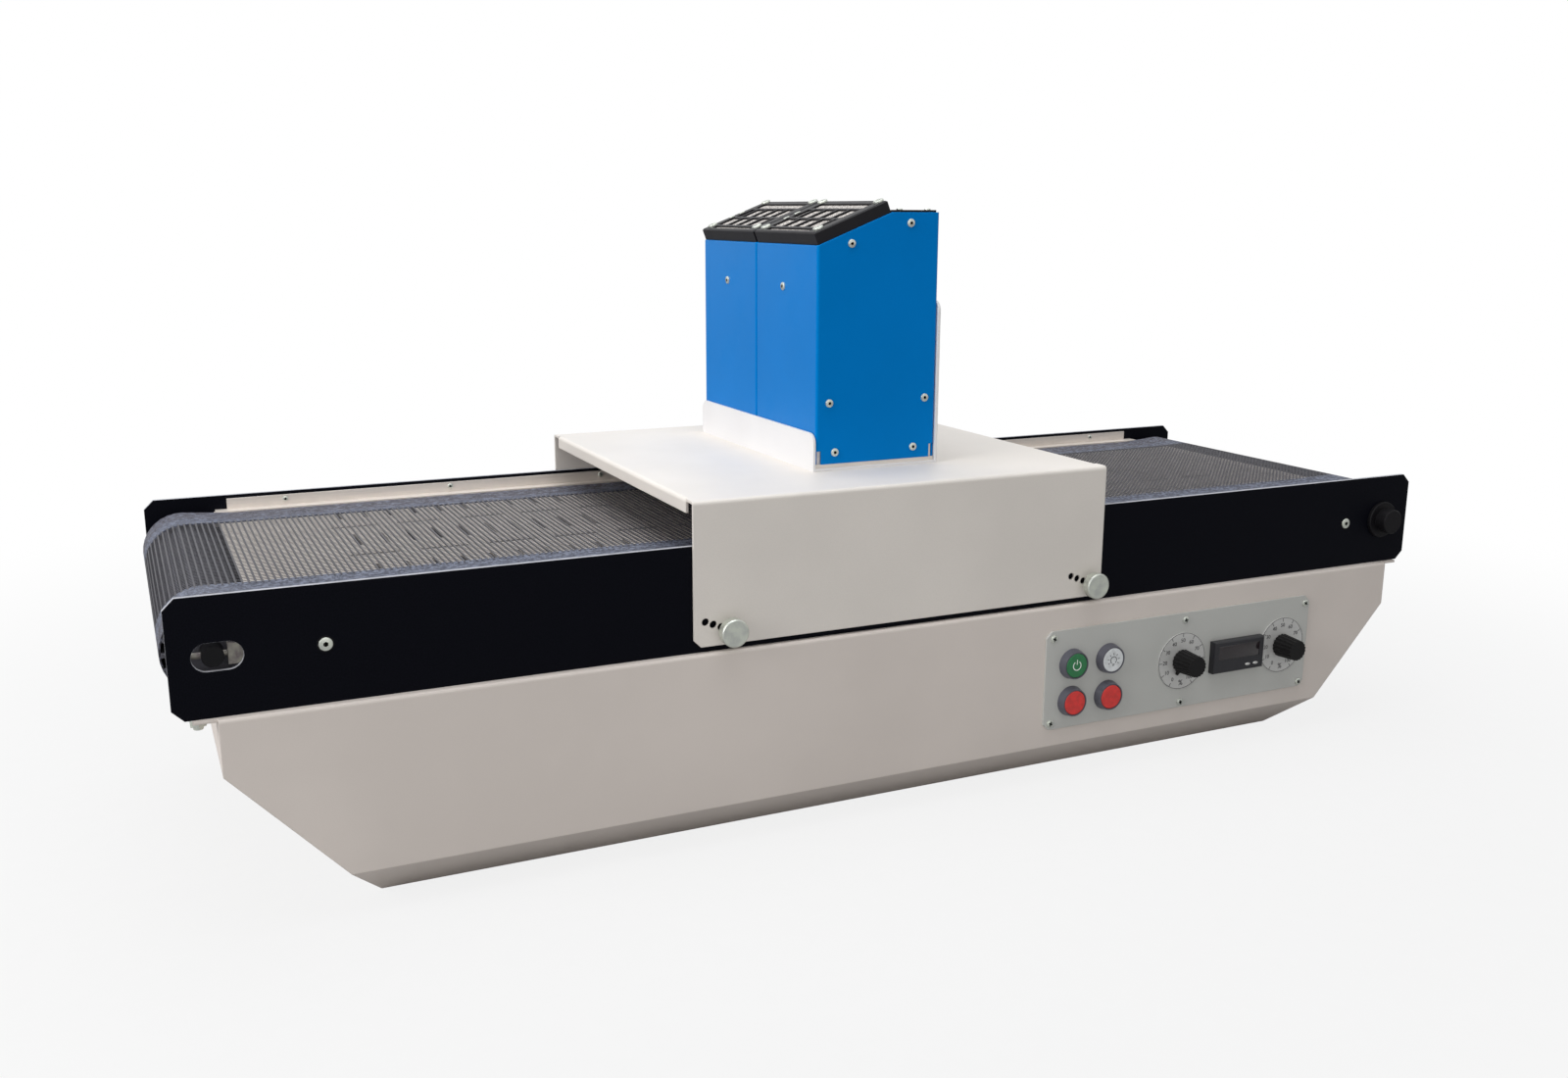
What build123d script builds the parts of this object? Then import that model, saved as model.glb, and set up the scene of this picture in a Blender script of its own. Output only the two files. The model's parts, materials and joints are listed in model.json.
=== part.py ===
from build123d import *
import math
import os

os.makedirs("parts", exist_ok=True)

# A bench-top UV conveyor dryer. X runs along the belt, Y to the back, Z up.
# The origin lies under the middle of the housing, on the surface it stands on.
# All sizes are in millimetres.

# Housing: a folded tub with slanted ends and bevelled lower edges
base_height = 143.0
base_top_length = 950.0
base_slant_length = 810.0
base_bottom_length = 765.0
base_end_drop = 36.6
base_bevel_height = 29.4
base_bevel_inset = 33.5
base_overhang = 5.5
base_wall = 2.0
base_bend = 2.5
flange_length = 978.0
flange_inset = 2.5
fan_hole = 90.0
fan_pitch = 220.0
fan_count = 3
vent_length = 50.0
vent_width = 4.0
vent_pitch = 11.0
vent_count = 9
vent_x = -250.0
vent_z = 80.0

# Side plates
plate_length = 1000.0
plate_height = 75.4
plate_thickness = 3.0
plate_corner = 7.0
conveyor_width = 318.5

# Belt and rollers; insets run from the ends of the side plates, drops from their top
axis_drop = 37.7
tail_axis_inset = 25.5
drive_axis_inset = 29.5
belt_radius = 29.0
belt_thickness = 1.0
belt_width = 287.0
belt_dip = 0.8
belt_dip_run = 36.0
roller_length = 291.0
roller_gap = 0.3
rib_count = 18
rib_depth = 3.0
rib_width = 2.6
running_clearance = 0.08
tail_bore = 13.0
drive_shaft = 15.0

# Deck under the belt, and the guide rails along its edges
deck_inset = 50.0
deck_thickness = 2.0
deck_flange = 12.0
deck_raised_width = 200.0
deck_step = 2.2
deck_step_run = 6.0
slot_length = 33.0
slot_width = 4.0
slot_pitch = 48.0
slot_row_pitch = 92.0
slot_count = 16
cross_slot_length = 37.0
cross_slot_width = 3.2
cross_slot_pitch = 19.2
cross_slot_row_pitch = 95.0
cross_slot_count = 39
rail_inset = 60.0
rail_lip_inset = 51.0
rail_height = 10.0
rail_lip = 11.2
rail_thickness = 1.8

# Bearings, belt tension and cross bars
slot_inset = 28.0
slot_end_to_end = 29.5
slot_height = 17.6
tension_screw = 4.0
tension_block_length = 18.0
tension_block_height = 13.0
tension_block_width = 7.0
tension_block_lap = 8.7
flange_diameter = 31.0
flange_depth = 3.0
hub_diameter = 19.0
hub_depth = 2.0
cap_diameter = 20.7
cap_depth = 8.0
cap_gap = 0.6
bar_diameter = 14.0
infeed_bar_inset = 89.6
outfeed_bar_inset = 70.8

# Tunnel cover: a folded sheet astride the conveyor, held by four thumb screws
cover_length = 341.0
cover_rise = 31.0
cover_drop = 71.0
cover_sheet = 2.0
cover_gap = 1.0
cover_corner = 5.0
cover_bend = 3.0
cover_lip = 10.0
cover_lip_notch = 11.0
cover_window_length = 78.0
row_holes = 4
row_hole = 5.4
row_pitch_x = 5.77
row_pitch_z = -2.35
row_left_x = -162.1
row_right_x = 142.2
row_drop = 53.4
thumb_head = 20.0
thumb_head_depth = 7.5
thumb_collar = 11.0
thumb_collar_depth = 5.0
thumb_shank = 5.0

# Lamp bracket and the two lamp heads on it
bracket_sheet = 2.0
bracket_left_rise = 28.5
bracket_right_rise = 124.0
bracket_corner = 8.0
lamp_x = 5.95
lamp_y = 14.0
lamp_length = 101.7
lamp_width = 107.4
lamp_split = 0.8
lamp_fit = 0.5
lamp_left_height = 160.0
lamp_height = 184.0
lamp_slope_run = 61.6
lamp_wall = 1.5
lamp_corner = 2.0
notch_length = 4.5
notch_height = 10.0
chassis_height = 3.0
chassis_inset = 0.3
tray_wall = 1.5
tray_height = 18.0
tray_fit = 0.3
window_length = 60.0
window_width = 84.0
window_thickness = 2.0
window_seat = 4.0

# Filter frames on the sloping tops. Each row of openings, from the low end up, has
# its depth, its width, the number of bars across it and the middle of those bars
filter_length = 64.0
filter_width = 105.0
filter_thickness = 9.5
filter_low_border = 3.5
filter_bar = 2.5
filter_cell_pitch = 19.5
filter_rows = ((4.7, 76.0, 0, 0.0), (15.7, 85.0, 4, -7.0), (16.5, 85.0, 4, 2.7), (9.6, 85.0, 0, 0.0))
filter_mat = 8.0
top_plate_thickness = 1.6
top_plate_inset = 2.5
top_plate_lap = 4.0

# Control panel and what is set in it
panel_length = 268.5
panel_height = 80.0
panel_thickness = 2.0
panel_corner = 5.0
panel_x = 253.4
panel_z = 83.8
button_x = (143.85, 178.85)
button_z = (95.75, 65.3)
bezel_diameter = 24.4
bezel_front = 21.8
bezel_depth = 6.3
bezel_floor = 0.8
lens_diameter = 19.2
lens_proud = 0.2
button_travel = 2.5
button_gap = 0.3
scale_diameter = 47.8
scale_thickness = 0.8
power_x = 252.8
speed_x = 359.3
dial_z = 83.6
knob_base = 19.6
knob_front = 17.2
knob_depth = 18.5
knob_flutes = 18
flute_depth = 0.5
pointer_reach = 12.4
pointer_depth = 3.0
power_pointer = -150.0
speed_pointer = 90.0
knob_gap = 0.4
spindle_diameter = 6.0
spindle_length = 8.0
meter_x = 308.75
meter_z = 82.65
meter_length = 53.0
meter_height = 27.0
meter_depth = 6.0

# Mains inlet on the back
inlet_x = 300.0
inlet_z = 80.0
inlet_length = 50.0
inlet_height = 30.0
inlet_flange = 3.0
inlet_mouth_length = 25.0
inlet_mouth_height = 17.0
inlet_mouth_depth = 16.0
pin_thickness = 2.0
pin_height = 4.0
pin_length = 8.0
pin_pitch = 7.0


# Levels and faces that the sizes above give
tail_axis_x = tail_axis_inset - plate_length / 2
drive_axis_x = plate_length / 2 - drive_axis_inset
slot_centre_x = slot_inset - plate_length / 2
deck_length = plate_length - 2 * deck_inset
rail_length = plate_length - 2 * rail_inset
rail_lip_length = plate_length - 2 * rail_lip_inset
infeed_bar_x = infeed_bar_inset - plate_length / 2
outfeed_bar_x = plate_length / 2 - outfeed_bar_inset
plate_top = base_height + plate_height
axis_z = plate_top - axis_drop
inner_half = conveyor_width / 2 - plate_thickness
outer_half = conveyor_width / 2
base_half = outer_half + base_overhang
deck_top = axis_z + belt_radius - belt_thickness - belt_dip
deck_edge = deck_top - deck_step
cover_top = plate_top + cover_rise
roller_radius = belt_radius - belt_thickness - roller_gap
panel_front = -base_half - panel_thickness


def write(shape, node):
    """Write one piece as a STEP file named after its node."""
    export_step(shape, f"parts/{node}.step")


def box(x, y, z):
    """A block between two values on each axis."""
    block = Box(x[1] - x[0], y[1] - y[0], z[1] - z[0])
    return Pos((x[0] + x[1]) / 2, (y[0] + y[1]) / 2, (z[0] + z[1]) / 2) * block


def rod(diameter, start, end):
    """A round rod or hole between two points."""
    way = Vector(*end) - Vector(*start)
    return Solid.make_cylinder(diameter / 2, way.length, Plane(origin=start, z_dir=way))


def side_profile(points, y0, y1):
    """A polygon given as (x, z), carried from y0 to y1."""
    face = make_face(Polyline(*[(x, 0, z) for x, z in points], close=True))
    return Pos(0, y0, 0) * extrude(face, amount=y1 - y0, dir=(0, 1, 0))


def end_profile(points, x0, x1):
    """A polygon given as (y, z), carried from x0 to x1."""
    face = make_face(Polyline(*[(0, y, z) for y, z in points], close=True))
    return Pos(x0, 0, 0) * extrude(face, amount=x1 - x0, dir=(1, 0, 0))


def chamfered(length, height, corner):
    """The outline of a rectangle with its corners cut off, about its middle."""
    x, z, c = length / 2, height / 2, corner
    return [(-x, c - z), (c - x, -z), (x - c, -z), (x, c - z),
            (x, z - c), (x - c, z), (c - x, z), (-x, z - c)]


def spread(middle, pitch, count):
    """Evenly spaced places about a middle one."""
    return [middle + (i - (count - 1) / 2) * pitch for i in range(count)]


def mirrored(shape):
    """The same piece on the other side of the belt."""
    return mirror(shape, about=Plane.XZ)


# Housing
def tub():
    """The outer form: slanted ends above, four bevels below."""
    top, slant, low = base_top_length / 2, base_slant_length / 2, base_bottom_length / 2
    shoulder = base_height - base_end_drop
    ends = [(-top, base_height), (-top, shoulder), (-slant, base_bevel_height),
            (slant, base_bevel_height), (top, shoulder), (top, base_height)]
    upper = side_profile(ends, -base_half, base_half)
    rim = Pos(0, 0, base_bevel_height) * Rectangle(2 * slant, 2 * base_half)
    foot = Rectangle(2 * low, 2 * (base_half - base_bevel_inset))
    return upper + loft([foot, rim])


def side_slot(x, z):
    """An upright air slot through the back wall."""
    return box((x - vent_width / 2, x + vent_width / 2),
               (base_half - 2 * base_wall, base_half + base_wall),
               (z - vent_length / 2, z + vent_length / 2))


def base_housing():
    """The welded tub, hollow, with its top sheet and the two end flanges."""
    outer = tub()
    inner = offset(outer, amount=-base_wall, kind=Kind.INTERSECTION)
    outer = fillet(outer.edges().filter_by(Axis.X).group_by(Axis.Z)[-1], base_bend)
    flange = box((-flange_length / 2, flange_length / 2),
                 (flange_inset - base_half, base_half - flange_inset),
                 (base_height - base_wall, base_height))
    fans = [rod(fan_hole, (x, 0, base_height - 2 * base_wall), (x, 0, base_height + base_wall))
            for x in spread(0, fan_pitch, fan_count)]
    vents = [side_slot(x, vent_z) for x in spread(vent_x, vent_pitch, vent_count)]
    inlet = box((inlet_x - inlet_length / 2 + inlet_flange, inlet_x + inlet_length / 2 - inlet_flange),
                (base_half - 2 * base_wall, base_half + base_wall),
                (inlet_z - inlet_height / 2 + inlet_flange, inlet_z + inlet_height / 2 - inlet_flange))
    return outer - inner + flange - fans - vents - inlet


# Conveyor frame
def front_side_plate():
    """The front side plate, with the slot, bearing hole and screw holes."""
    outline = [(x, z + base_height + plate_height / 2)
               for x, z in chamfered(plate_length, plate_height, plate_corner)]
    plate = side_profile(outline, -outer_half, -inner_half)
    slot = extrude(Plane.XZ * SlotOverall(slot_end_to_end, slot_height), amount=plate_thickness, both=True)
    plate -= Pos(slot_centre_x, -outer_half, axis_z) * slot
    through = (-outer_half - 1, -inner_half + 1)
    plate -= rod(hub_diameter, (drive_axis_x, through[0], axis_z), (drive_axis_x, through[1], axis_z))
    for x, z in thumb_points():
        plate -= rod(thumb_shank + 2 * running_clearance, (x, through[0], z), (x, through[1], z))
    return plate


def belt_outline(reach):
    """The belt's path at a distance from the roller axes, as a face."""
    left, right = (tail_axis_x, axis_z), (drive_axis_x, axis_z)
    up, low = axis_z + reach, axis_z - reach
    flat = up - belt_dip

    def at(x, z):
        return (x, 0, z)

    path = [
        Polyline(at(left[0], up), at(left[0] + belt_dip_run, flat),
                 at(right[0] - belt_dip_run, flat), at(right[0], up)),
        ThreePointArc(at(right[0], up), at(right[0] + reach, axis_z), at(right[0], low)),
        Line(at(right[0], low), at(left[0], low)),
        ThreePointArc(at(left[0], low), at(left[0] - reach, axis_z), at(left[0], up)),
    ]
    return make_face(Curve() + path)


def conveyor_belt():
    """The endless mesh belt, as one plain band."""
    band = belt_outline(belt_radius) - belt_outline(belt_radius - belt_thickness)
    return Pos(0, -belt_width / 2, 0) * extrude(band, amount=belt_width, dir=(0, 1, 0))


def ribbed_tube(bore):
    """A roller tube with ribs along it, about the Y axis."""
    root = roller_radius - rib_depth
    section = Circle(root) - Circle(bore / 2)
    rib = Pos(root, 0) * Rectangle(2 * rib_depth, rib_width)
    ribs = Sketch() + [Rot(0, 0, 360 * i / rib_count) * rib for i in range(rib_count)]
    section = section + (ribs & Circle(roller_radius)) - Circle(bore / 2)
    tube = extrude(Plane.XZ * section, amount=roller_length / 2, both=True)
    return tube


def drive_roller():
    """The driven roller with its shaft, which carries a cap at each end."""
    tube = ribbed_tube(drive_shaft)
    half = outer_half + flange_depth + hub_depth + cap_gap
    shaft = rod(drive_shaft, (0, -half, 0), (0, half, 0))
    return Pos(drive_axis_x, 0, axis_z) * (tube + shaft)


def front_shaft_cap():
    """The round cap on the front end of the drive shaft."""
    start = -outer_half - flange_depth - hub_depth - cap_gap
    cap = rod(cap_diameter, (drive_axis_x, start - cap_depth, axis_z), (drive_axis_x, start, axis_z))
    rim = cap.edges().filter_by(GeomType.CIRCLE).sort_by(Axis.Y)[0]
    return chamfer(rim, 0.6)


def front_drive_bearing():
    """The flanged bearing in the front side plate."""
    x, z = drive_axis_x, axis_z
    outer = -outer_half - flange_depth
    flange = rod(flange_diameter, (x, outer, z), (x, -outer_half, z))
    rim = flange.edges().filter_by(GeomType.CIRCLE).sort_by(Axis.Y)[0]
    flange = chamfer(rim, 0.6)
    body = rod(hub_diameter, (x, outer - hub_depth, z), (x, -inner_half, z))
    bore = drive_shaft + 2 * running_clearance
    return flange + body - rod(bore, (x, outer - hub_depth - 1, z), (x, 1 - inner_half, z))


def tail_roller():
    """The idle roller, which turns on its fixed axle."""
    return Pos(tail_axis_x, 0, axis_z) * ribbed_tube(tail_bore + 2 * running_clearance)


def tail_axle():
    """The fixed axle, cross-drilled at each end for the tension screws."""
    half = outer_half - 0.5
    axle = rod(tail_bore, (tail_axis_x, -half, axis_z), (tail_axis_x, half, axis_z))
    hole = tension_screw + 2 * running_clearance
    cross = inner_half - tension_block_width / 2
    for y in (-cross, cross):
        axle -= rod(hole, (tail_axis_x - tail_bore, y, axis_z), (tail_axis_x + tail_bore, y, axis_z))
    return axle


def front_tension_screw():
    """The screw that pulls the axle, with its block behind the front plate."""
    y = tension_block_width / 2 - inner_half
    start = slot_centre_x + slot_end_to_end / 2 - tension_block_lap
    stop = slot_centre_x - slot_end_to_end / 2
    screw = rod(tension_screw, (stop, y, axis_z), (start + tension_block_lap, y, axis_z))
    block = box((start, start + tension_block_length),
                (-inner_half, -inner_half + tension_block_width),
                (axis_z - tension_block_height / 2, axis_z + tension_block_height / 2))
    return screw + block


def cross_bars():
    """The two bars that hold the side plates apart."""
    bars = [rod(bar_diameter, (x, -inner_half, axis_z), (x, inner_half, axis_z))
            for x in (infeed_bar_x, outfeed_bar_x)]
    return Compound(children=bars)


# Deck and guide rails
def belt_deck():
    """The slotted sheet that the belt slides on, raised along the middle and folded down at the plates."""
    t, y = deck_thickness, inner_half
    step = deck_raised_width / 2
    top = [(-y, deck_edge), (-step - deck_step_run, deck_edge), (-step, deck_top),
           (step, deck_top), (step + deck_step_run, deck_edge), (y, deck_edge)]
    under = [(y, deck_edge - deck_flange), (y - t, deck_edge - deck_flange), (y - t, deck_edge - t)]
    under += [(v, z - t) for v, z in reversed(top[1:-1])]
    under += [(t - y, deck_edge - t), (t - y, deck_edge - deck_flange), (-y, deck_edge - deck_flange)]
    deck = end_profile(top + under, -deck_length / 2, deck_length / 2)
    depth = 4 * (deck_step + t)
    slots = [place * Box(slot_length, slot_width, depth)
             for place in GridLocations(slot_pitch, slot_row_pitch, slot_count, 2)]
    slots += [place * Box(cross_slot_width, cross_slot_length, depth)
              for place in GridLocations(cross_slot_pitch, cross_slot_row_pitch, cross_slot_count, 3)]
    return deck - [Pos(0, 0, deck_top) * slot for slot in slots]


def front_guide_rail():
    """The angle along the front edge of the belt, its lip a little longer."""
    t = rail_thickness
    lip = box((-rail_lip_length / 2, rail_lip_length / 2),
              (-inner_half, -inner_half + rail_lip), (deck_edge, deck_edge + t))
    web = box((-rail_length / 2, rail_length / 2),
              (-inner_half, -inner_half + t), (deck_edge, deck_edge + rail_height))
    return lip + web


# Tunnel cover
def thumb_points():
    """The last hole of each row, where the thumb screws sit, as (x, z)."""
    step = row_holes - 1
    return [(x + step * row_pitch_x, plate_top - row_drop + step * row_pitch_z)
            for x in (row_left_x, row_right_x)]


def tunnel_cover():
    """The folded cover: top, two side panels, and turned-down lips at the ends."""
    t, x = cover_sheet, cover_length / 2
    y = outer_half + cover_gap + t
    low = plate_top - cover_drop
    shell = box((-x, x), (-y, y), (low, cover_top))
    shell = fillet(shell.edges().filter_by(Axis.X).group_by(Axis.Z)[-1], cover_bend)
    hollow = box((-x - 1, x + 1), (t - y, y - t), (low - 1, cover_top - t))
    hollow = fillet(hollow.edges().filter_by(Axis.X).group_by(Axis.Z)[-1], cover_bend - t)
    cover = shell - hollow
    corners = cover.edges().filter_by(Axis.Y).group_by(Axis.Z)[0]
    cover = chamfer(corners, cover_corner)

    half = y - t - cover_lip_notch
    lip = box((-x, x), (-half, half), (cover_top - cover_lip, cover_top))
    lip = fillet(lip.edges().filter_by(Axis.Y).group_by(Axis.Z)[-1], cover_bend)
    under = box((t - x, x - t), (-half - 1, half + 1), (cover_top - cover_lip - 1, cover_top - t))
    under = fillet(under.edges().filter_by(Axis.Y).group_by(Axis.Z)[-1], cover_bend - t)
    for end in (-1, 1):
        cover -= box(sorted((end * x, end * (x - cover_bend))), (-half, half), (cover_top - t, cover_top))
    cover += lip - under

    for x0 in (row_left_x, row_right_x):
        for i in range(row_holes):
            hx, hz = x0 + i * row_pitch_x, plate_top - row_drop + i * row_pitch_z
            cover -= rod(row_hole, (hx, -y - 1, hz), (hx, y + 1, hz))
    window = 2 * lamp_width + lamp_split - 2 * window_seat
    cover -= box((lamp_x - cover_window_length / 2, lamp_x + cover_window_length / 2),
                 (lamp_y - window / 2, lamp_y + window / 2), (cover_top - 2 * t, cover_top + t))
    return cover


def thumb_screw(x, z):
    """A knurled thumb screw through the front of the cover into the plate."""
    face = -outer_half - cover_gap - cover_sheet
    head = rod(thumb_head, (x, face - thumb_collar_depth - thumb_head_depth, z),
               (x, face - thumb_collar_depth, z))
    head = chamfer(head.edges().filter_by(GeomType.CIRCLE), 0.8)
    collar = rod(thumb_collar, (x, face - thumb_collar_depth, z), (x, face, z))
    shank = rod(thumb_shank, (x, face, z), (x, -inner_half, z))
    return head + collar + shank


# Lamps
def lamp_span():
    """The left and right faces of the lamp heads."""
    return lamp_x - lamp_length / 2, lamp_x + lamp_length / 2


def lamp_rows():
    """The middle of the front head and of the rear head."""
    step = (lamp_width + lamp_split) / 2
    return lamp_y - step, lamp_y + step


def lamp_bracket():
    """The bent bracket: low on the left, tall on the right, open below."""
    left, right = lamp_span()
    t = bracket_sheet
    y0, y1 = lamp_rows()[0] - lamp_width / 2 - 1, lamp_rows()[1] + lamp_width / 2 + 1
    x0, x1 = left - lamp_fit - t, right + lamp_fit + t
    floor = box((x0, x1), (y0, y1), (cover_top, cover_top + t))
    low = box((x0, x0 + t), (y0, y1), (cover_top, cover_top + bracket_left_rise))
    tall = box((x1 - t, x1), (y0, y1), (cover_top, cover_top + bracket_right_rise))
    low = fillet(low.edges().filter_by(Axis.X).group_by(Axis.Z)[-1], bracket_corner)
    tall = fillet(tall.edges().filter_by(Axis.X).group_by(Axis.Z)[-1], bracket_corner)
    window = 2 * lamp_width + lamp_split - 2 * window_seat
    opening = box((lamp_x - cover_window_length / 2, lamp_x + cover_window_length / 2),
                  (lamp_y - window / 2, lamp_y + window / 2), (cover_top - t, cover_top + 2 * t))
    return floor + low + tall - opening


def lamp_housing(y):
    """The blue sheet hood of one head, open below, with a sloping top."""
    left, right = lamp_span()
    base = cover_top + bracket_sheet + chassis_height
    outline = [(left, base), (right, base), (right, base + lamp_height),
               (left + lamp_slope_run, base + lamp_height), (left, base + lamp_left_height)]
    hood = side_profile(outline, y - lamp_width / 2, y + lamp_width / 2)
    bottom = hood.faces().sort_by(Axis.Z)[0]
    hood = offset(hood, amount=-lamp_wall, openings=bottom, kind=Kind.INTERSECTION)
    upright = [edge for edge in hood.edges().filter_by(Axis.Z)
               if min(abs(edge.center().X - left), abs(edge.center().X - right)) < lamp_wall / 2]
    hood = fillet(upright, lamp_corner)
    for end in (y - lamp_width / 2, y + lamp_width / 2 - lamp_wall):
        for x in (left, right - notch_length):
            hood -= box((x, x + notch_length), (end, end + lamp_wall), (base, base + notch_height))
    return hood


def lamp_chassis(y):
    """The aluminium tray that closes one head, with the seat for its window."""
    left, right = lamp_span()
    low = cover_top + bracket_sheet

    def block(c, z0, z1):
        return box((left + c, right - c), (y - lamp_width / 2 + c, y + lamp_width / 2 - c), (z0, z1))

    rim = lamp_wall + tray_fit
    floor = block(chassis_inset, low, low + chassis_height)
    floor += block(rim, low, low + tray_height)
    floor -= block(rim + tray_wall, low + chassis_height, low + tray_height + 1)
    sill = window_seat / 2
    light = box((lamp_x - window_length / 2 + sill, lamp_x + window_length / 2 - sill),
                (y - window_width / 2 + sill, y + window_width / 2 - sill), (low - 1, low + chassis_height + 1))
    seat = box((lamp_x - window_length / 2, lamp_x + window_length / 2),
               (y - window_width / 2, y + window_width / 2),
               (low + chassis_height - window_thickness, low + chassis_height + 1))
    return floor - light - seat


def lamp_window(y):
    """The quartz pane in the floor of one head."""
    top = cover_top + bracket_sheet + chassis_height
    return box((lamp_x - window_length / 2, lamp_x + window_length / 2),
               (y - window_width / 2, y + window_width / 2), (top - window_thickness, top))


def slope_place(y):
    """The middle of one sloping top, with Z square to the slope."""
    left, _ = lamp_span()
    base = cover_top + bracket_sheet + chassis_height
    rise = lamp_height - lamp_left_height
    angle = math.degrees(math.atan2(rise, lamp_slope_run))
    middle = (left + lamp_slope_run / 2, y, base + lamp_left_height + rise / 2)
    return Location(middle, (0, -angle, 0))


def filter_pad(y):
    """The filter mat, as long and wide as the field of openings above it."""
    length = sum(row[0] for row in filter_rows) + (len(filter_rows) - 1) * filter_bar
    width = max(row[1] for row in filter_rows)
    middle = filter_low_border + (length - filter_length) / 2
    return slope_place(y) * Pos(middle, 0, filter_mat / 2) * Box(length, width, filter_mat)


def filter_frame(y):
    """The black frame over one intake, open in rows, two of them with staggered bars."""
    frame = Box(filter_length, filter_width, filter_thickness)
    frame = chamfer(frame.edges().group_by(Axis.Z)[-1], 1.0)
    low = filter_low_border - filter_length / 2
    for depth, width, bars, middle in filter_rows:
        row = Box(depth, width, 2 * filter_thickness)
        for v in spread(middle, filter_cell_pitch, bars):
            row -= Pos(0, v, 0) * Box(depth, filter_bar, 2 * filter_thickness)
        frame -= Pos(low + depth / 2, 0, 0) * row
        low += depth + filter_bar
    frame = slope_place(y) * Pos(0, 0, filter_thickness / 2) * frame
    return frame + top_plate(y) - filter_pad(y)


def top_plate(y):
    """The flat part of the same moulding, which lies on the level top of the head."""
    left, right = lamp_span()
    top = cover_top + bracket_sheet + chassis_height + lamp_height
    ridge, t, lap = left + lamp_slope_run, top_plate_thickness, top_plate_lap
    fall = lap * (lamp_height - lamp_left_height) / lamp_slope_run
    outline = [(ridge - lap, top - fall), (ridge, top), (right - top_plate_inset, top),
               (right - top_plate_inset, top + t), (ridge, top + t), (ridge - lap, top + t - fall)]
    return side_profile(outline, y - filter_width / 2, y + filter_width / 2)


# Control panel
def control_panel():
    """The plate on the front of the housing."""
    outline = [(x + panel_x, z + panel_z) for x, z in chamfered(panel_length, panel_height, panel_corner)]
    panel = side_profile(outline, panel_front, -base_half)
    return panel


def button_places():
    """The four buttons as (x, z): upper two, then lower two."""
    return [(x, z) for z in button_z for x in button_x]


def button_bezels():
    """The four round bezels, each with a bore for its lens."""
    rings = []
    bore = extrude(Circle(lens_diameter / 2 + button_gap), amount=bezel_depth)
    cone = Cone(bezel_diameter / 2, bezel_front / 2, bezel_depth, align=(Align.CENTER, Align.CENTER, Align.MIN))
    ring = cone - Pos(0, 0, bezel_floor) * bore
    for x, z in button_places():
        rings.append(Pos(x, panel_front, z) * Rot(90, 0, 0) * ring)
    return Compound(children=rings)


def button_lens(x, z):
    """One push lens, which stands clear of its bezel floor by its travel."""
    back = panel_front - bezel_floor - button_travel - button_gap
    front = panel_front - bezel_depth - lens_proud
    lens = rod(lens_diameter, (x, front, z), (x, back, z))
    rim = lens.edges().filter_by(GeomType.CIRCLE).sort_by(Axis.Y)[0]
    return chamfer(rim, 0.4)


def dial_scale(x):
    """One round scale with the fixed spindle bush of its knob."""
    disc = rod(scale_diameter, (x, panel_front - scale_thickness, dial_z), (x, panel_front, dial_z))
    bush = rod(spindle_diameter, (x, panel_front - scale_thickness - spindle_length, dial_z),
               (x, panel_front, dial_z))
    return disc + bush


def fluted(diameter):
    """A knob's section: a polygon with a shallow flute between each pair of crests."""
    crest = diameter / 2
    step = 360 / (4 * knob_flutes)
    reach = (crest, crest, crest - flute_depth, crest - flute_depth)
    points = [Vector(reach[i % 4], 0).rotate(Axis.Z, i * step) for i in range(4 * knob_flutes)]
    return make_face(Polyline(*points, close=True))


def dial_knob(x, angle):
    """One tapered, fluted knob with its pointer, bored for the spindle."""
    back = panel_front - scale_thickness - knob_gap
    grip = loft([fluted(knob_base), Pos(0, 0, knob_depth) * fluted(knob_front)])
    wedge = Polyline((-4, 0), (0, pointer_reach), (4, 0), close=True)
    pointer = extrude(make_face(wedge), amount=pointer_depth)
    bore = extrude(Circle(spindle_diameter / 2 + running_clearance), amount=spindle_length + knob_gap)
    knob = grip + pointer - bore
    return Pos(x, back, dial_z) * Rot(90, 0, 0) * Rot(0, 0, -angle) * knob


def speed_meter():
    """The panel meter, with a sunken display."""
    x, z = (meter_length / 2, meter_height / 2)
    bezel = box((meter_x - x, meter_x + x), (panel_front - meter_depth, panel_front),
                (meter_z - z, meter_z + z))
    bezel = fillet(bezel.edges().group_by(Axis.Y)[0], 1.2)
    display = box((meter_x - x + 5, meter_x + x - 5),
                  (panel_front - meter_depth - 1, panel_front - meter_depth + 1.2),
                  (meter_z - z + 11, meter_z + z - 4))
    return bezel - display


# Mains inlet
def mains_inlet():
    """The recessed inlet with three flat pins."""
    x, z = inlet_length / 2, inlet_height / 2
    plate = box((inlet_x - x, inlet_x + x), (base_half, base_half + inlet_flange),
                (inlet_z - z, inlet_z + z))
    x, z = x - inlet_flange - 0.3, z - inlet_flange - 0.3
    body = box((inlet_x - x, inlet_x + x), (base_half - inlet_mouth_depth - 2, base_half),
               (inlet_z - z, inlet_z + z))
    floor = base_half + inlet_flange - inlet_mouth_depth
    mouth = box((inlet_x - inlet_mouth_length / 2, inlet_x + inlet_mouth_length / 2),
                (floor, base_half + inlet_flange + 1),
                (inlet_z - inlet_mouth_height / 2, inlet_z + inlet_mouth_height / 2))
    inlet = plate + body - mouth
    for i, lift in ((-1, -1.5), (0, 2.5), (1, -1.5)):
        px, pz = inlet_x + i * pin_pitch, inlet_z + lift
        inlet += box((px - pin_thickness / 2, px + pin_thickness / 2), (floor - 0.5, floor + pin_length),
                     (pz - pin_height / 2, pz + pin_height / 2))
    return inlet


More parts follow.
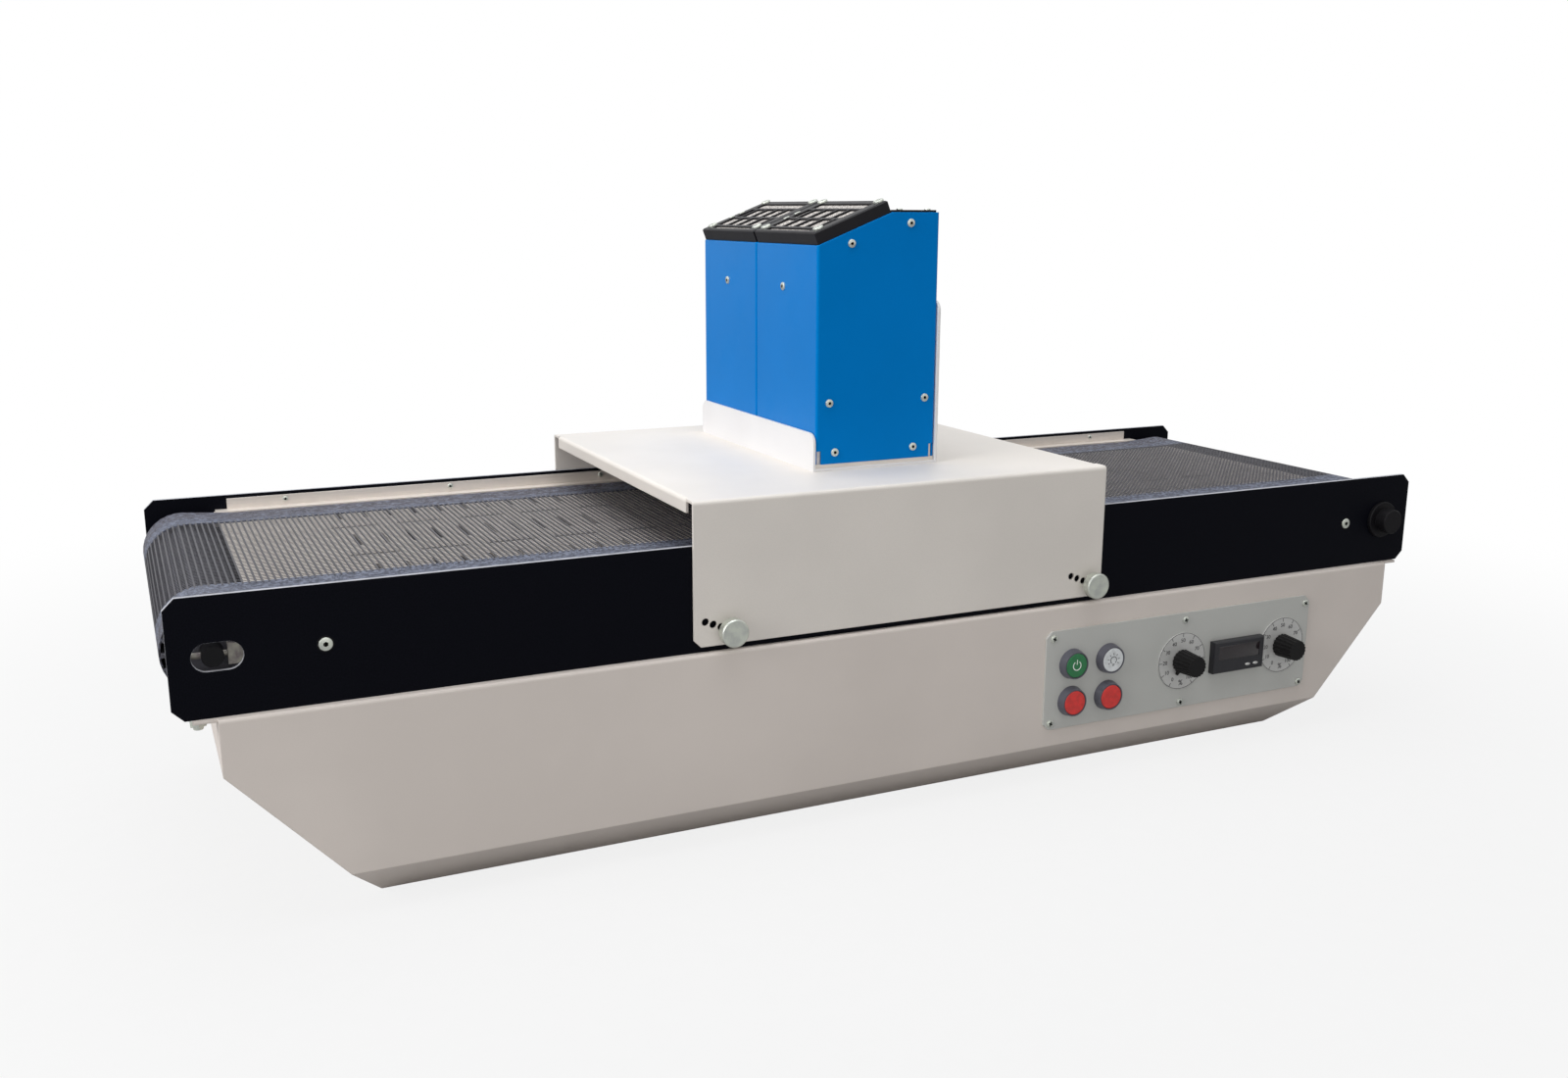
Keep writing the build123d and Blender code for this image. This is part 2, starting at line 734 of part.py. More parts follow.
write(base_housing(), "base_housing")
write(front_side_plate(), "front_side_plate")
write(mirrored(front_side_plate()), "back_side_plate")
write(conveyor_belt(), "conveyor_belt")
write(drive_roller(), "drive_roller")
write(front_shaft_cap(), "front_shaft_cap")
write(mirrored(front_shaft_cap()), "back_shaft_cap")
write(front_drive_bearing(), "front_drive_bearing")
write(mirrored(front_drive_bearing()), "back_drive_bearing")
write(tail_roller(), "tail_roller")
write(tail_axle(), "tail_axle")
write(front_tension_screw(), "front_tension_screw")
write(mirrored(front_tension_screw()), "back_tension_screw")
write(cross_bars(), "cross_bars")
write(belt_deck(), "belt_deck")
write(front_guide_rail(), "front_guide_rail")
write(mirrored(front_guide_rail()), "back_guide_rail")
write(tunnel_cover(), "tunnel_cover")
for side, (x, z) in zip(("infeed", "outfeed"), thumb_points()):
    write(thumb_screw(x, z), f"front_{side}_thumb_screw")
    write(mirrored(thumb_screw(x, z)), f"back_{side}_thumb_screw")
write(lamp_bracket(), "lamp_bracket")
for name, y in zip(("front", "rear"), lamp_rows()):
    write(lamp_housing(y), f"{name}_lamp_housing")
    write(lamp_chassis(y), f"{name}_lamp_chassis")
    write(lamp_window(y), f"{name}_lamp_window")
    write(filter_frame(y), f"{name}_filter_frame")
    write(filter_pad(y), f"{name}_filter_mat")
write(control_panel(), "control_panel")
write(button_bezels(), "button_bezels")
for name, (x, z) in zip(("start", "lamp_on", "stop", "lamp_off"), button_places()):
    write(button_lens(x, z), f"{name}_button")
for name, x, angle in (("power", power_x, power_pointer), ("speed", speed_x, speed_pointer)):
    write(dial_scale(x), f"{name}_scale")
    write(dial_knob(x, angle), f"{name}_knob")
write(speed_meter(), "speed_meter")
write(mains_inlet(), "mains_inlet")
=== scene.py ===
import json
import math

import bmesh
import bpy
from mathutils import Matrix, Vector


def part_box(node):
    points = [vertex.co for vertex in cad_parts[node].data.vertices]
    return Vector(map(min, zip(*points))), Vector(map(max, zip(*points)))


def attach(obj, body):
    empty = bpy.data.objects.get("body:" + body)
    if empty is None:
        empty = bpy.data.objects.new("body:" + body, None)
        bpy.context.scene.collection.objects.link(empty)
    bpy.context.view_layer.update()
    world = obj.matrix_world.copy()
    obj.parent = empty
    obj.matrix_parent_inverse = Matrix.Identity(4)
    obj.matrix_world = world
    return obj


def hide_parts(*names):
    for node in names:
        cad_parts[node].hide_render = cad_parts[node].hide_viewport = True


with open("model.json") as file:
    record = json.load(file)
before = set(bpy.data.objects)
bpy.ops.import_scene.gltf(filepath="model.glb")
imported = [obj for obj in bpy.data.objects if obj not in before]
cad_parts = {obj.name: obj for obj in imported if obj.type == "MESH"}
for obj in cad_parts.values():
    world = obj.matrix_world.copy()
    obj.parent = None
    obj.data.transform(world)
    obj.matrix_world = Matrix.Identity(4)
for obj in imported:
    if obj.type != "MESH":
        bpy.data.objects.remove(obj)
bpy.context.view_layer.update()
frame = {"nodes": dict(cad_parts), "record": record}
nodes = frame["nodes"]

# Metres throughout. X runs along the belt, Y to the back, Z up, with the origin on
# the surface that the housing stands on.
TAIL_X, DRIVE_X, AXIS_Z = -0.4745, 0.4705, 0.1807
BELT_REACH, BELT_THICK, BELT_HALF = 0.029, 0.001, 0.1435
DIP, DIP_RUN = 0.0008, 0.036
PLATE_FRONT, PLATE_TOP = -0.15925, 0.2184
PANEL_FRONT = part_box("control_panel")[0].y
LAMP_LOW, LAMP_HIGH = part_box("front_lamp_housing")
REAR_LOW, REAR_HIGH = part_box("rear_lamp_housing")


# Camera, light and floor
def set_camera():
    """Stands the camera where the photograph was taken from."""
    lens = bpy.data.cameras.new("camera")
    lens.sensor_width = 36.0
    lens.lens = 32.73
    lens.clip_start = 0.05
    camera = bpy.data.objects.new("camera", lens)
    right = Vector((0.90416331, -0.42716689, 0.00414188))
    down = Vector((-0.09203895, -0.20426404, -0.97457941))
    ahead = Vector((0.4171541, 0.88079773, -0.22400404))
    turn = Matrix((right, -down, -ahead)).transposed().to_4x4()
    camera.matrix_world = Matrix.Translation((-0.51432, -1.03038, 0.43859)) @ turn
    bpy.context.scene.collection.objects.link(camera)
    bpy.context.scene.camera = camera


def lamp(name, at, aim, size, power, colour):
    """One soft studio lamp."""
    light = bpy.data.lights.new(name, "AREA")
    light.shape = "RECTANGLE"
    light.size, light.size_y = size
    light.energy = power
    light.color = colour
    holder = bpy.data.objects.new(name, light)
    way = Vector(aim) - Vector(at)
    holder.matrix_world = Matrix.Translation(at) @ way.to_track_quat("-Z", "Y").to_matrix().to_4x4()
    bpy.context.scene.collection.objects.link(holder)


def set_world():
    """A plain white surround, softer where it lights the object."""
    world = bpy.data.worlds.new("studio")
    world.use_nodes = True
    bpy.context.scene.world = world
    tree = world.node_tree
    seen = Reading(tree, None).node("ShaderNodeLightPath", {}, {}, "Is Camera Ray")
    mirrored = Reading(tree, None).node("ShaderNodeLightPath", {}, {}, "Is Glossy Ray")
    level = SURROUND + seen * (1 - SURROUND) + mirrored * (MIRRORED - SURROUND)
    tree.links.new(level.socket, tree.nodes["Background"].inputs["Strength"])
    tree.nodes["Background"].inputs["Color"].default_value = (1.0, 1.0, 1.0, 1.0)


SURROUND, MIRRORED = 0.3, 0.85


# Materials
def srgb(red, green, blue):
    """A colour given in 8-bit display numbers."""
    def linear(value):
        value /= 255
        return value / 12.92 if value <= 0.04045 else ((value + 0.055) / 1.055) ** 2.4
    return (linear(red), linear(green), linear(blue), 1.0)


def scaled(colour, factor):
    """The same colour, lighter or darker."""
    return tuple(min(1.0, part * factor) for part in colour[:3]) + (1.0,)


class Reading:
    """A shader socket that Python expressions can use."""

    def __init__(self, tree, socket):
        self.tree = tree
        self.socket = socket

    def node(self, kind, settings, values, out=0):
        """Adds a node: its settings first, then the values or links of its sockets."""
        made = self.tree.nodes.new(kind)
        for name, value in settings.items():
            if name == "stops":
                for stop, (place, colour) in zip(made.color_ramp.elements, value):
                    stop.position, stop.color = place, colour
            else:
                setattr(made, name, value)
        for key, value in values.items():
            if isinstance(value, Reading):
                self.tree.links.new(value.socket, made.inputs[key])
            else:
                made.inputs[key].default_value = value
        return Reading(self.tree, made.outputs[out])

    def maths(self, operation, first, second):
        return self.node("ShaderNodeMath", {"operation": operation}, {0: first, 1: second})

    def __add__(self, other):
        return self.maths("ADD", self, other)

    __radd__ = __add__

    def __sub__(self, other):
        return self.maths("SUBTRACT", self, other)

    def __rsub__(self, other):
        return self.maths("SUBTRACT", other, self)

    def __mul__(self, other):
        return self.maths("MULTIPLY", self, other)

    __rmul__ = __mul__

    def __pow__(self, other):
        return self.maths("POWER", self, other)

    def ramp(self, low, high, to_low=0.0, to_high=1.0):
        """Carries low to high onto a new range, clamped and smooth at both ends."""
        settings = {"interpolation_type": "SMOOTHSTEP", "clamp": True}
        return self.node("ShaderNodeMapRange", settings,
                         {"Value": self, "From Min": low, "From Max": high, "To Min": to_low, "To Max": to_high})

    def mix(self, first, second):
        """A colour between two, by this mask."""
        return self.node("ShaderNodeMix", {"data_type": "RGBA"}, {0: self, 6: first, 7: second}, 2)

    def noise(self, scale, detail=2.0, rough=0.5):
        """Noise at this place, so many grains to the metre."""
        return self.node("ShaderNodeTexNoise", {}, {"Vector": self, "Scale": scale, "Detail": detail,
                                                    "Roughness": rough}, "Fac")

    def stretched(self, x, y, z):
        """This place with its axes scaled."""
        return self.node("ShaderNodeVectorMath", {"operation": "MULTIPLY"}, {0: self, 1: (x, y, z)})


def begin(name, colour, roughness, metallic=0.0, constants=None):
    """A new material and the place that its patterns read."""
    material = bpy.data.materials.new(name)
    material.use_nodes = True
    shader = material.node_tree.nodes["Principled BSDF"]
    values = {"Base Color": colour, "Roughness": roughness, "Metallic": metallic}
    for key, value in {**values, **(constants or {})}.items():
        shader.inputs[key].default_value = value
    place = Reading(material.node_tree, None).node("ShaderNodeTexCoord", {}, {}, "Object")
    return material, place


def feed(material, **readings):
    """Links readings to the shader, their names with underscores for spaces."""
    shader = material.node_tree.nodes["Principled BSDF"]
    for name, reading in readings.items():
        material.node_tree.links.new(reading.socket, shader.inputs[name.replace("_", " ")])


def bump(place, height, strength, distance, under=None):
    """Relief from a height, over a rounded normal where one is given."""
    values = {"Strength": strength, "Distance": distance, "Height": height}
    if under is not None:
        values["Normal"] = under
    return place.node("ShaderNodeBump", {}, values)


def edges(place, radius):
    """A rounded normal, and a mask that is high along edges."""
    soft = place.node("ShaderNodeBevel", {"samples": 4}, {"Radius": radius})
    flat = place.node("ShaderNodeNewGeometry", {}, {}, "True Normal")
    lean = place.node("ShaderNodeVectorMath", {"operation": "DOT_PRODUCT"}, {0: soft, 1: flat}, "Value")
    return soft, (1 - lean).ramp(0.01, 0.25)


def coat(name, colour, roughness, rim=0.0008, rim_highlight=1.12, grain=0.00005, scuff=0.03, constants=None):
    """Powder coat: orange peel, faint clouding, handled patches and rounded rims, the rims painted lighter as a
    highlight.
    """
    material, place = begin(name, colour, roughness, 0.0, constants)
    soft, rims = edges(place, rim)
    cloud = place.noise(9.0, 3.0).ramp(0.3, 0.7)
    fleck = place.noise(1900.0, 1.0).ramp(0.35, 0.65)
    ground = cloud.mix(scaled(colour, 0.965), scaled(colour, 1.03))
    ground = (fleck * 0.16).mix(ground, scaled(colour, 0.8))
    # Painted highlight: the colour is lightened along the rims.
    ground = (rims * 0.7).mix(ground, scaled(colour, rim_highlight))
    handled = place.noise(26.0, 4.0, 0.65).ramp(0.45, 0.75)
    peel = place.noise(1100.0, 2.0) + 0.5 * place.noise(420.0, 1.0)
    feed(material, Base_Color=ground, Roughness=roughness - scuff + 2 * scuff * handled,
         Normal=bump(place, peel, 0.5, grain, soft))
    return material


def side_plate():
    """Black coat on the faces of the side plates; their cut edges and rims are painted pale grey, partly as worn coat
    and partly as a painted highlight.
    """
    material, place = begin("plate_coat", srgb(9, 10, 17), 0.5, 0.0, {"Specular IOR Level": 0.05})
    soft, rims = edges(place, 0.0004)
    face = place.node("ShaderNodeNewGeometry", {}, {}, "True Normal")
    along = place.node("ShaderNodeVectorMath", {"operation": "DOT_PRODUCT"}, {0: face, 1: (0.0, 1.0, 0.0)}, "Value")
    cut = (1 - along * along).ramp(0.3, 0.8)
    fleck = place.noise(1300.0, 2.0).ramp(0.35, 0.65)
    ground = fleck.mix(srgb(4, 5, 11), srgb(12, 13, 21))
    wear_and_glint = place.noise(90.0, 4.0, 0.6).ramp(0.3, 0.7)
    # Painted highlight, partly worn coat: pale grey on the cut edges and along the rims.
    ground = (cut * (0.75 + 0.25 * wear_and_glint)).mix(ground, srgb(196, 197, 204))
    ground = (rims * 0.7).mix(ground, srgb(206, 208, 214))
    peel = place.noise(1100.0, 2.0) + 0.5 * place.noise(420.0, 1.0)
    feed(material, Base_Color=ground, Roughness=0.46 + 0.08 * wear_and_glint, Normal=bump(place, peel, 0.5, 0.00005, soft))
    return material


def milled(name, colour, roughness, way=(1, 0, 0), metallic=1.0, streak=0.12, rim=0.0004):
    """Rolled or drawn metal, with fine streaks along one axis, dull patches and edges painted lighter as a highlight.
    """
    material, place = begin(name, colour, roughness, metallic)
    soft, rims = edges(place, rim)
    stretch = [14.0 if part else 900.0 for part in way]
    lines = place.stretched(*stretch).noise(1.0, 4.0, 0.6)
    tarnish = place.noise(30.0, 4.0, 0.6).ramp(0.35, 0.7)
    ground = lines.ramp(0.3, 0.7).mix(scaled(colour, 1 - streak), scaled(colour, 1 + streak))
    ground = (tarnish * 0.35).mix(ground, scaled(colour, 0.72))
    # Painted highlight: the colour is lightened along the edges.
    ground = (rims * 0.6).mix(ground, scaled(colour, 1.25))
    feed(material, Base_Color=ground, Roughness=roughness + 0.18 * tarnish - 0.1 * rims,
         Normal=bump(place, lines, 0.25, 0.00004, soft))
    return material


def plated(name, colour, roughness, metallic=1.0, rim=0.0004):
    """Zinc plate: fine crystals, with a faint yellow and green cast and edges painted lighter as a highlight."""
    material, place = begin(name, colour, roughness, metallic)
    soft, rims = edges(place, rim)
    cast = place.noise(160.0, 3.0, 0.6).ramp(0.3, 0.7)
    grain = place.noise(2600.0, 2.0)
    ground = cast.mix(scaled(colour, 0.82), colour)
    ground = (cast * 0.3).mix(ground, (0.62, 0.66, 0.5, 1.0))
    # Painted highlight: the colour is lightened along the edges.
    ground = (rims * 0.8).mix(ground, scaled(colour, 1.35))
    feed(material, Base_Color=ground, Roughness=roughness + 0.15 * cast,
         Normal=bump(place, grain, 0.3, 0.00002, soft))
    return material


def moulded(name, colour, roughness, grain=0.00004, rim=0.0004, rim_highlight=1.8, constants=None):
    """Moulded plastic with a fine spark texture and rims painted paler as a highlight."""
    material, place = begin(name, colour, roughness, 0.0, constants)
    soft, rims = edges(place, rim)
    dust = place.noise(70.0, 4.0, 0.7).ramp(0.5, 0.8)
    spark = place.noise(2400.0, 2.0)
    ground = (dust * 0.25).mix(colour, scaled(colour, 1.5))
    # Painted highlight: the colour is made paler along the rims.
    ground = (rims * 0.6).mix(ground, scaled(colour, rim_highlight))
    feed(material, Base_Color=ground, Roughness=roughness + 0.08 * dust,
         Normal=bump(place, spark, 0.4, grain, soft))
    return material


def lens_cap(name, colour, cap_highlight):
    """A translucent button cap, mottled in tone, with its rims painted lighter as a highlight."""
    constants = {"Coat Weight": 0.5, "Coat Roughness": 0.12, "Subsurface Weight": 0.0}
    material, place = begin(name, colour, 0.35, 0.0, constants)
    soft, rims = edges(place, 0.0005)
    depth = place.noise(220.0, 3.0).ramp(0.3, 0.7)
    ground = depth.mix(scaled(colour, 0.85), scaled(colour, 1.1))
    # Painted highlight: the cap colour is brightened along its rims.
    ground = (rims * 0.6).mix(ground, scaled(colour, cap_highlight))
    feed(material, Base_Color=ground, Normal=bump(place, place.noise(900.0), 0.2, 0.00002, soft))
    return material


def foam():
    """The filter mat: pale crossed fibres, with painted shade darkening the low parts between them and the pores."""
    material, place = begin("filter_mat", srgb(150, 146, 142), 0.85)
    fibre = place.noise(900.0, 3.0, 0.7)
    pore = place.node("ShaderNodeTexVoronoi", {"feature": "F1"}, {"Vector": place, "Scale": 620.0}, "Distance")
    # Painted shade: darker where the fibre relief is low and in the pores.
    dark = fibre.ramp(0.36, 0.52)
    ground = dark.mix(srgb(70, 66, 64), srgb(232, 226, 220))
    ground = (pore.ramp(0.3, 0.65) * 0.5).mix(ground, srgb(110, 104, 100))
    feed(material, Base_Color=ground, Normal=bump(place, fibre - 0.6 * pore, 1.0, 0.0006))
    return material


def weave(name, colour, gloss, scale):
    """Coated glass yarn: a fine over and under relief, with a waxy film; its colour follows the relief, painted darker
    in the hollows as shade and lighter on the tops as highlight.
    """
    material, place = begin(name, colour, gloss, 0.0, {"Specular IOR Level": 0.6})
    yarn = place.stretched(1.0, 1.0, 1.0).noise(scale, 3.0, 0.7)
    fuzz = place.noise(420.0, 3.0, 0.75).ramp(0.42, 0.66)
    # Painted shade and highlight: darker where the relief is low, lighter where it is high.
    ground = yarn.ramp(0.35, 0.65).mix(scaled(colour, 0.5), scaled(colour, 1.4))
    ground = (fuzz * 0.5).mix(ground, scaled(colour, 2.6))
    feed(material, Base_Color=ground, Roughness=gloss - 0.15 + 0.3 * yarn,
         Normal=bump(place, yarn, 0.8, 0.0003))
    return material


def edge_fabric():
    """The closed edges of the belt: bluish beside the open mesh; beyond, towards the rails, painted darker and browner
    as shade.
    """
    material, place = begin("edge_band", srgb(92, 94, 106), 0.6, 0.0, {"Specular IOR Level": 0.3})
    across = place.node("ShaderNodeVectorMath", {"operation": "DOT_PRODUCT"}, {0: place, 1: (0.0, 1.0, 0.0)}, "Value")
    outer = across.maths("ABSOLUTE", across, 0.0).ramp(0.116, 0.120)
    yarn = place.noise(1100.0, 3.0, 0.7)
    lint = place.stretched(260.0, 520.0, 520.0).noise(1.0, 3.0, 0.75).ramp(0.42, 0.62)
    # Painted shade: the outer part of each edge band is darker and browner.
    ground = outer.mix(srgb(88, 93, 108), srgb(70, 64, 68))
    ground = yarn.ramp(0.35, 0.65).mix(ground, srgb(44, 44, 54))
    ground = (lint * 0.6).mix(ground, srgb(140, 146, 164))
    feed(material, Base_Color=ground, Roughness=0.5 + 0.2 * yarn, Normal=bump(place, yarn + 0.6 * lint, 0.9, 0.0003))
    return material


def pane():
    """The quartz window of a lamp head."""
    material, place = begin("quartz_pane", (0.85, 0.9, 0.95, 1.0), 0.06, 0.0,
                            {"Transmission Weight": 0.85, "IOR": 1.46})
    film = place.noise(40.0, 3.0).ramp(0.4, 0.7)
    feed(material, Roughness=0.05 + 0.1 * film, Base_Color=film.mix((0.86, 0.9, 0.95, 1.0), (0.74, 0.8, 0.86, 1.0)))
    return material


def ink(name, colour):
    """Printed ink, a little uneven."""
    material, place = begin(name, colour, 0.55)
    patch = place.noise(800.0, 2.0).ramp(0.3, 0.7)
    feed(material, Base_Color=patch.mix(colour, scaled(colour, 1.4)))
    return material


def glass_face():
    """The smoked window of the meter."""
    material, place = begin("smoked_window", srgb(30, 20, 24), 0.12, 0.0, {"Coat Weight": 0.6, "Coat Roughness": 0.05})
    smear = place.noise(60.0, 4.0, 0.6).ramp(0.35, 0.75)
    feed(material, Roughness=0.1 + 0.15 * smear, Base_Color=smear.mix(srgb(26, 17, 21), srgb(38, 29, 33)))
    return material


def floor_finish():
    """A pale floor that keeps the shadow near the object and fades to white."""
    material, place = begin("studio_floor", (0.42, 0.42, 0.42, 1.0), 0.8)
    tree = material.node_tree
    far = place.node("ShaderNodeVectorMath", {"operation": "LENGTH"}, {0: place}, "Value")
    tooth = place.noise(60.0, 3.0)
    feed(material, Base_Color=(tooth.ramp(0.3, 0.7)).mix((0.41, 0.41, 0.41, 1.0), (0.43, 0.43, 0.43, 1.0)))
    camera_ray = place.node("ShaderNodeLightPath", {}, {}, "Is Camera Ray")
    white = place.node("ShaderNodeEmission", {}, {"Color": (1.0, 1.0, 1.0, 1.0), "Strength": 1.0})
    plain = Reading(tree, tree.nodes["Principled BSDF"].outputs[0])
    shade = far.ramp(0.45, 1.3, 0.84, 1.0) * camera_ray
    blend = place.node("ShaderNodeMixShader", {}, {0: shade, 1: plain, 2: white})
    tree.links.new(blend.socket, tree.nodes["Material Output"].inputs["Surface"])
    return material


HOUSING = srgb(223, 214, 207)
COVER = srgb(231, 225, 218)
finishes = {
    "housing_grey": coat("housing_coat", HOUSING, 0.5, rim=0.0012),
    "plate_black": side_plate(),
    "roller_metal": milled("roller_skin", srgb(96, 96, 104), 0.5, way=(0, 1, 0), metallic=0.4, rim=0.0012),
    "cap_black": moulded("cap_plastic", srgb(16, 15, 18), 0.5, rim_highlight=3.0, constants={"Specular IOR Level": 0.15}),
    "axle_black": moulded("blackened_steel", srgb(13, 13, 16), 0.5, constants={"Specular IOR Level": 0.15}),
    "zinc": plated("zinc_plate", srgb(214, 218, 212), 0.3, metallic=0.8),
    "deck_metal": milled("deck_sheet", srgb(236, 226, 216), 0.45, metallic=0.1, streak=0.2),
    "rail_aluminium": milled("rail_metal", srgb(226, 218, 210), 0.4, streak=0.05, metallic=0.5),
    "cover_grey": coat("cover_coat", COVER, 0.5, rim=0.0012),
    "bracket_white": coat("bracket_coat", srgb(237, 236, 237), 0.5, rim=0.0008),
    "lamp_blue": coat("lamp_coat", srgb(0, 121, 205), 0.4, rim=0.0016, rim_highlight=1.6,
                      constants={"Specular IOR Level": 0.4, "Specular Tint": (0.0, 0.75, 1.0, 1.0)}),
    "quartz": pane(),
    "filter_black": moulded("filter_plastic", srgb(22, 21, 25), 0.4, rim=0.0006, rim_highlight=4.0,
                            constants={"Specular IOR Level": 0.2}),
    "filter_foam": foam(),
    "panel_metal": coat("panel_sheet", srgb(196, 197, 193), 0.42, rim=0.0005, grain=0.00002),
    "bezel_grey": moulded("bezel_plastic", srgb(88, 88, 98), 0.35, rim_highlight=1.6),
    "lens_green": lens_cap("green_cap", srgb(10, 118, 62), 1.5),
    "lens_white": lens_cap("white_cap", srgb(226, 230, 232), 1.1),
    "lens_red": lens_cap("red_cap", srgb(222, 40, 34), 1.3),
    "scale_silver": milled("scale_disc", srgb(206, 206, 204), 0.42, metallic=0.35, streak=0.03),
    "knob_black": moulded("knob_plastic", srgb(17, 16, 17), 0.4, rim_highlight=2.4, constants={"Specular IOR Level": 0.2}),
    "meter_black": moulded("meter_plastic", srgb(26, 26, 32), 0.35, rim_highlight=2.2),
    "inlet_black": moulded("inlet_plastic", srgb(22, 22, 24), 0.5),
}
strand_finish = weave("mesh_strand", srgb(50, 49, 56), 0.45, 1500.0)
band_finish = edge_fabric()
black_ink = ink("black_ink", srgb(22, 22, 28))
white_ink = ink("white_ink", srgb(225, 235, 225))
for part in frame["record"]["subparts"]:
    slots = nodes[part["node"]].data.materials
    finish = strand_finish if part["material_slot"] == "belt_mesh" else finishes[part["material_slot"]]
    slots.clear()
    slots.append(finish)


dull_steel = plated("dull_steel", srgb(112, 104, 106), 0.45, metallic=0.8)
for side in ("front", "back"):
    nodes[side + "_tension_screw"].data.materials[0] = dull_steel


# Making pieces
def piece(name, shape, finish, body="frame", sharp=35.0):
    """Turns a shape into a finished piece that rides on a body."""
    mesh = bpy.data.meshes.new(name)
    shape.to_mesh(mesh)
    shape.free()
    for skin in finish if isinstance(finish, tuple) else (finish,):
        mesh.materials.append(skin)
    mesh.shade_smooth()
    mesh.set_sharp_from_angle(angle=math.radians(sharp))
    made = bpy.data.objects.new(name, mesh)
    bpy.context.scene.collection.objects.link(made)
    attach(made, body)
    return made


def copies(shape, places):
    """One shape holding a copy of another at each place."""
    mesh = bpy.data.meshes.new("copy")
    shape.to_mesh(mesh)
    shape.free()
    joined = bmesh.new()
    for place in places:
        count = len(joined.verts)
        joined.from_mesh(mesh)
        joined.verts.ensure_lookup_table()
        bmesh.ops.transform(joined, matrix=place, verts=joined.verts[count:])
    bpy.data.meshes.remove(mesh)
    return joined


def facing(at, way, turn=0.0):
    """A place whose Z axis points along a way, turned about it."""
    square = Vector(way).to_track_quat("Z", "Y").to_matrix().to_4x4()
    return Matrix.Translation(at) @ square @ Matrix.Rotation(turn, 4, "Z")


def panel_place(x, z, proud=0.0):
    """A place on the front, seen upright: X right, Y up, Z towards the viewer."""
    return Matrix.Translation((x, PANEL_FRONT - proud, z)) @ Matrix.Rotation(math.radians(90), 4, "X")


def screw_head(radius, height, socket, sides, depth):
    """A round head standing on z = 0, with a socket of 6 sides, or a cross of 4 arms."""
    shape = bmesh.new()
    if sides == 4:
        arm = socket * 0.3
        core = bmesh.ops.create_grid(shape, x_segments=1, y_segments=1, size=arm)
        rims = shape.edges[:]
        for rim in rims:
            middle = (rim.verts[0].co + rim.verts[1].co) / 2
            grown = bmesh.ops.extrude_edge_only(shape, edges=[rim])["geom"]
            ends = [part for part in grown if isinstance(part, bmesh.types.BMVert)]
            bmesh.ops.translate(shape, vec=middle.normalized() * (socket - arm), verts=ends)
        del core
    else:
        bmesh.ops.create_circle(shape, cap_ends=True, segments=sides, radius=socket)
    floor_faces = shape.faces[:]
    lip = [edge for edge in shape.edges if len(edge.link_faces) == 1]
    outer = bmesh.ops.create_circle(shape, cap_ends=False, segments=24, radius=radius)["verts"]
    ring = list({edge for vert in outer for edge in vert.link_edges})
    bmesh.ops.bridge_loops(shape, edges=lip + ring)
    sunk = bmesh.ops.extrude_face_region(shape, geom=floor_faces)["geom"]
    sunk = [part for part in sunk if isinstance(part, bmesh.types.BMVert)]
    bmesh.ops.translate(shape, vec=(0, 0, -depth), verts=sunk)
    skirt = [edge for edge in shape.edges if all(vert in outer for vert in edge.verts)]
    down = bmesh.ops.extrude_edge_only(shape, edges=skirt)["geom"]
    down = [part for part in down if isinstance(part, bmesh.types.BMVert)]
    bmesh.ops.translate(shape, vec=(0, 0, -height), verts=down)
    bmesh.ops.bevel(shape, geom=skirt, offset=min(height, radius) * 0.4, segments=2, profile=0.5,
                    affect="EDGES", material=-1)
    bmesh.ops.holes_fill(shape, edges=shape.edges, sides=0)
    bmesh.ops.translate(shape, vec=(0, 0, height), verts=shape.verts)
    bmesh.ops.recalc_face_normals(shape, faces=shape.faces)
    return shape


def disc(radius, height, segments=32, rim=0.0):
    """A flat round piece standing on z = 0."""
    shape = bmesh.new()
    bmesh.ops.create_cone(shape, cap_ends=True, segments=segments, radius1=radius, radius2=radius, depth=height,
                          matrix=Matrix.Translation((0, 0, height / 2)))
    if rim:
        top = [edge for edge in shape.edges if all(vert.co.z > height / 2 for vert in edge.verts)]
        bmesh.ops.bevel(shape, geom=top, offset=rim, segments=3, profile=0.5, affect="EDGES", material=-1)
    return shape


def bar(length, width, height, rim=0.0):
    """A block about the middle of its foot."""
    shape = bmesh.new()
    bmesh.ops.create_cube(shape, size=1.0, matrix=Matrix.Translation((0, 0, height / 2))
                          @ Matrix.Diagonal((length, width, height, 1.0)))
    if rim:
        bmesh.ops.bevel(shape, geom=shape.edges[:], offset=rim, segments=2, profile=0.5, affect="EDGES", material=-1)
    return shape


def nut_on_bolt():
    """A washer, a hexagon nut and the end of its bolt."""
    return joined(disc(0.0062, 0.0009, 32, 0.0002), disc(0.0053, 0.0052, 6, 0.0005), disc(0.0030, 0.0074, 24, 0.0004))


def ring(inner, outer, height, turn=360.0, steps=32):
    """A flat ring, or an arc of one, standing on z = 0 and starting at X."""
    shape = bmesh.new()
    start = bmesh.ops.create_grid(shape, x_segments=1, y_segments=1, size=0.5)["verts"]
    place = (Matrix.Translation(((inner + outer) / 2, 0, height / 2))
             @ Matrix.Diagonal((outer - inner, 1.0, height, 1.0)) @ Matrix.Rotation(math.radians(90), 4, "X"))
    bmesh.ops.transform(shape, matrix=place, verts=start)
    bmesh.ops.spin(shape, geom=shape.verts[:] + shape.edges[:] + shape.faces[:], cent=(0, 0, 0), axis=(0, 0, 1),
                   angle=math.radians(turn), steps=steps, use_merge=turn == 360.0, use_duplicate=False)
    bmesh.ops.recalc_face_normals(shape, faces=shape.faces)
    return shape


